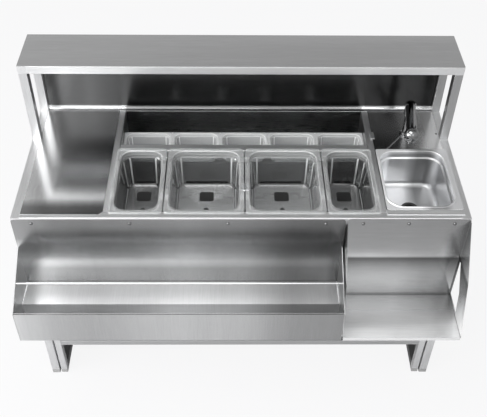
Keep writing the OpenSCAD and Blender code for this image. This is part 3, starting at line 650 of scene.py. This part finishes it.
# The cups' cloudy corner streaks are painted highlights.
cup_corner_highlight = clear_plastic("cup_corner_streak", 0.05, below(top, (
    (0.070, 0.80), (0.03, 0.95), (0.01, 0.95), (0.0, 0.8))))
for number in range(1, 6):
    name = "cup_%d" % number
    shell, middle = pan_shell(name, cup_shape, cup_plastic, cup_corner_highlight, cup_plastic)
    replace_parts(joined(name + "_moulding", [shell], name + "_body"), name)

# Sink pressed from bright stainless steel and set in from above: a flat plate that laps over the
# right rail, a raised bead round the mouth, drafted walls, and a hole for the waste. The strainer
# is black plastic.
sink_shape = {"rim": (0.009, 0.014), "r_out": 0.006, "r_in": 0.052, "depth": 0.150,
              "wall": 0.0015, "draft": 0.005, "round_r": 0.022, "step": 0.030, "ledge": 0.005,
              "reach": 0.011, "hole": 0.0252,
              "bead": ((0.0070, 0.0), (0.0062, 0.0014), (0.0048, 0.0024), (0.0030, 0.0025),
                       (0.0014, 0.0018), (0.0004, 0.0002), (0.0, -0.0025))}
bead_rise = 0.0025
low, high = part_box("sink_bowl")
w, d = high[0] - low[0] - sink_shape["reach"], high[1] - low[1]
middle = Vector((low[0] + w / 2, (low[1] + high[1]) / 2, high[2] - bead_rise))
bowl = lofted("sink_pressing", placed(basin_rings(w, d, **sink_shape), middle), True)
# The pressing is painted darker over its right part, most in a band from 0.63 to 0.675 m across:
# painted shade.
sink_steel_painted_shade = paint_light_and_shade_along(polished("sink_steel_painted_shade", 0.93, 0.31), "X",
                   ((0.48, 1.0), (0.59, 1.0), (0.63, 0.42), (0.675, 0.42), (0.70, 0.8),
                    (0.73, 0.8)))
dulled(sink_steel_painted_shade, "Z", ((0.72, 1.0), (0.866, 1.0), (0.873, 0.60), (0.89, 0.60)))
bowl.data.materials.append(sink_steel_painted_shade)
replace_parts(joined("sink_body", [bowl], "station"), "sink_bowl")
finish_nodes(chrome, "sink_waste")
finish_nodes(satin("strainer_black", 0.025, 0.35), "sink_strainer")

# Tap in chromed brass, bolted through the right worktop: a pillar, a spout that swivels on it
# and ends in a ball, and a thin lever.
# The tap's chrome is given a dark grey, so that it shows dark between its highlights: a painted
# dark reflection.
tap_chrome_painted_dark = polished("tap_chrome_painted_dark", 0.26, 0.03)
finish_nodes(tap_chrome_painted_dark, "tap_pillar", "tap_nut", "tap_spout", "tap_lever")

# Double speed rail for bottles in two tiers: one folded sheet of brushed stainless, welded to an
# end plate at each side, with a round rod through both plates that keeps the bottles in.
# The sheet's colour is painted lighter in a band up the back, much lighter over the depth of the
# floors, and lighter at the left than at the right: painted reflections and painted light.
rail_steel_painted_light = paint_light_and_shade_along(brushed("rail_sheet_steel_painted_light", 0.60, "YZ", 0.20, "Z", 0.08, streaks=0.03), "Z",
                   ((0.48, 0.62), (0.632, 0.64), (0.70, 1.55), (0.74, 1.35), (0.78, 0.64),
                    (0.87, 0.60)))
paint_light_and_shade_along(rail_steel_painted_light, "Y", ((-0.401, 1.75), (-0.398, 1.75), (-0.395, 2.25), (-0.206, 2.25),
                        (-0.2025, 1.0), (-0.2, 1.0)))
paint_light_and_shade_along(rail_steel_painted_light, "X", ((-0.74, 1.15), (-0.62, 0.85), (-0.5, 0.78), (-0.2, 1.05), (0.0, 0.95),
                        (0.17, 0.64), (0.33, 0.62)))
dulled(rail_steel_painted_light, "Y", ((-0.401, 1.0), (-0.398, 1.0), (-0.395, 0.70), (-0.206, 0.70),
                         (-0.2025, 1.0), (-0.2, 1.0)))
finish_nodes(rail_steel_painted_light, "rail_sheet")
finish_nodes(brushed("rail_end_steel", 0.52, "Z", 0.30), "rail_ends")
finish_nodes(chrome, "rail_rod")


# Round-head studs of chromed steel with a washer under each head. They hold the rail and the
# drop shelf to the front rail. One is turned on a lathe, and a row of them is set along the sheet.
def turned(name, outline, steps=24):
    """Mesh object of an outline (distance out along -Y, radius) turned round the Y axis."""
    angles = [2 * math.pi * i / steps for i in range(steps)]
    rings = [[(r * math.cos(a), -out_by, r * math.sin(a)) for a in angles]
             for out_by, r in outline]
    return lofted(name, rings)


def row_of(piece, count, step, material, seed):
    """Copies of a piece along a line, each turned a little differently, as one plain mesh."""
    tree = bpy.data.node_groups.new(piece.name + "_row", "GeometryNodeTree")
    ports = {}
    for label, kind in (("Piece", "NodeSocketGeometry"), ("Count", "NodeSocketInt"),
                        ("Step", "NodeSocketVector"), ("Seed", "NodeSocketInt"),
                        ("Finish", "NodeSocketMaterial")):
        ports[label] = tree.interface.new_socket(label, in_out="INPUT", socket_type=kind)
    tree.interface.new_socket("Row", in_out="OUTPUT", socket_type="NodeSocketGeometry")
    given = tree.nodes.new("NodeGroupInput")
    line = tree.nodes.new("GeometryNodeMeshLine")
    line.mode = "OFFSET"
    turn = tree.nodes.new("FunctionNodeRandomValue")
    turn.data_type = "FLOAT_VECTOR"
    turn.inputs[0].default_value = (0.0, 0.0, 0.0)
    turn.inputs[1].default_value = (0.0, 2 * math.pi, 0.0)
    copies = tree.nodes.new("GeometryNodeInstanceOnPoints")
    real = tree.nodes.new("GeometryNodeRealizeInstances")
    finish = tree.nodes.new("GeometryNodeSetMaterial")
    made = tree.nodes.new("NodeGroupOutput")
    tree.links.new(given.outputs["Count"], line.inputs["Count"])
    tree.links.new(given.outputs["Step"], line.inputs["Offset"])
    tree.links.new(given.outputs["Seed"], turn.inputs["Seed"])
    tree.links.new(line.outputs["Mesh"], copies.inputs["Points"])
    tree.links.new(given.outputs["Piece"], copies.inputs["Instance"])
    tree.links.new(turn.outputs[0], copies.inputs["Rotation"])
    tree.links.new(copies.outputs["Instances"], real.inputs["Geometry"])
    tree.links.new(real.outputs["Geometry"], finish.inputs["Geometry"])
    tree.links.new(given.outputs["Finish"], finish.inputs["Material"])
    tree.links.new(finish.outputs["Geometry"], made.inputs["Row"])
    row = piece.modifiers.new("row", "NODES")
    row.node_group = tree
    for label, value in (("Count", count), ("Step", step), ("Seed", seed), ("Finish", material)):
        row[ports[label].identifier] = value
    bpy.context.view_layer.update()
    seen = piece.evaluated_get(bpy.context.evaluated_depsgraph_get())
    shape = bpy.data.meshes.new_from_object(seen)
    piece.modifiers.clear()
    piece.data = shape
    return piece


stud_outline = [(-0.010, 0.0020), (-0.010, 0.0029), (0.0, 0.0029), (0.0, 0.0064),
                (0.0009, 0.0064), (0.0010, 0.0052), (0.0022, 0.0050), (0.0031, 0.0042),
                (0.0038, 0.0030), (0.0042, 0.0016), (0.0042, 0.0013), (0.0030, 0.0011),
                (0.0030, 0.0004)]
washer_w, head_out = 0.013, 0.0045
# The studs' chrome is given a dark grey: a painted dark reflection.
stud_chrome_painted_dark = polished("stud_chrome_painted_dark", 0.26, 0.16)
for node, count, seed in (("rail_studs", 4, 3), ("drop_studs", 3, 8)):
    low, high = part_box(node)
    stud = turned(node + "_row", stud_outline)
    stud.data.materials.append(stud_chrome_painted_dark)
    span = (high[0] - low[0] - washer_w) / (count - 1)
    stud = row_of(stud, count, (span, 0.0, 0.0), stud_chrome_painted_dark, seed)
    stud.data.transform(Matrix.Translation((low[0] + washer_w / 2, low[1] + head_out,
                                            (low[2] + high[2]) / 2)))
    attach(stud, "station")
    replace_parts(stud, node)

# Weld beads that join the upper floor of the rail to its end plates: a run of small
# overlapping drops of bright metal, laid along both ends of the floor.
weld_outline = [(-0.0016, 0.0004), (-0.0012, 0.0017), (0.0, 0.0026), (0.0012, 0.0017),
                (0.0016, 0.0004)]
drops, drop_step, drop_seed = 40, 0.0024, 5
plate_gap, weld_front, floor_rise = 0.0030, -0.301, 0.0780
low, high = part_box("rail_sheet")
# The left bead is painted bright and the right one dark: painted light and painted shade.
for name, x, grey in (("weld_left", low[0] + plate_gap, 0.90),
                      ("weld_right", high[0] - plate_gap, 0.34)):
    weld_metal_painted_shading = polished(name + "_metal_painted_shading", grey, 0.16)
    bead = turned(name, weld_outline, 10)
    bead.data.materials.append(weld_metal_painted_shading)
    bead = row_of(bead, drops, (0.0, drop_step, 0.0), weld_metal_painted_shading, drop_seed)
    bead.data.transform(Matrix.Translation((x, weld_front, low[2] + floor_rise)))
    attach(bead, "station")

# Drop shelf at the right of the speed rail: a sheet of brushed stainless, folded once under the
# worktop and once for the shelf, with a brace plate at each end and three studs at its top.
# The shelf's colour is painted: a dark line along the lower fold, lighter just above it and fading
# to dark higher up, and a floor lighter at the front and darker towards the fold: painted
# reflections and painted shade.
drop_steel_painted_light = paint_light_and_shade_along(brushed("drop_shelf_steel_painted_light", 0.61, "X", 0.17, "Z", 0.06, streaks=0.05), "Z",
                   ((0.48, 1.0), (0.4943, 1.0), (0.4947, 0.30), (0.4985, 0.35), (0.5010, 1.45),
                    (0.54, 1.20), (0.60, 0.78), (0.645, 0.42), (0.684, 0.15), (0.696, 0.80),
                    (0.87, 0.70)))
paint_light_and_shade_along(drop_steel_painted_light, "Y", ((-0.40, 1.62), (-0.34, 1.50), (-0.27, 0.90), (-0.206, 0.36),
                        (-0.202, 1.0), (-0.20, 1.0)))
dulled(drop_steel_painted_light, "Y", ((-0.40, 0.50), (-0.34, 0.55), (-0.21, 0.92), (-0.202, 1.0),
                         (-0.20, 0.95)))
finish_nodes(drop_steel_painted_light, "drop_sheet", "drop_sides")
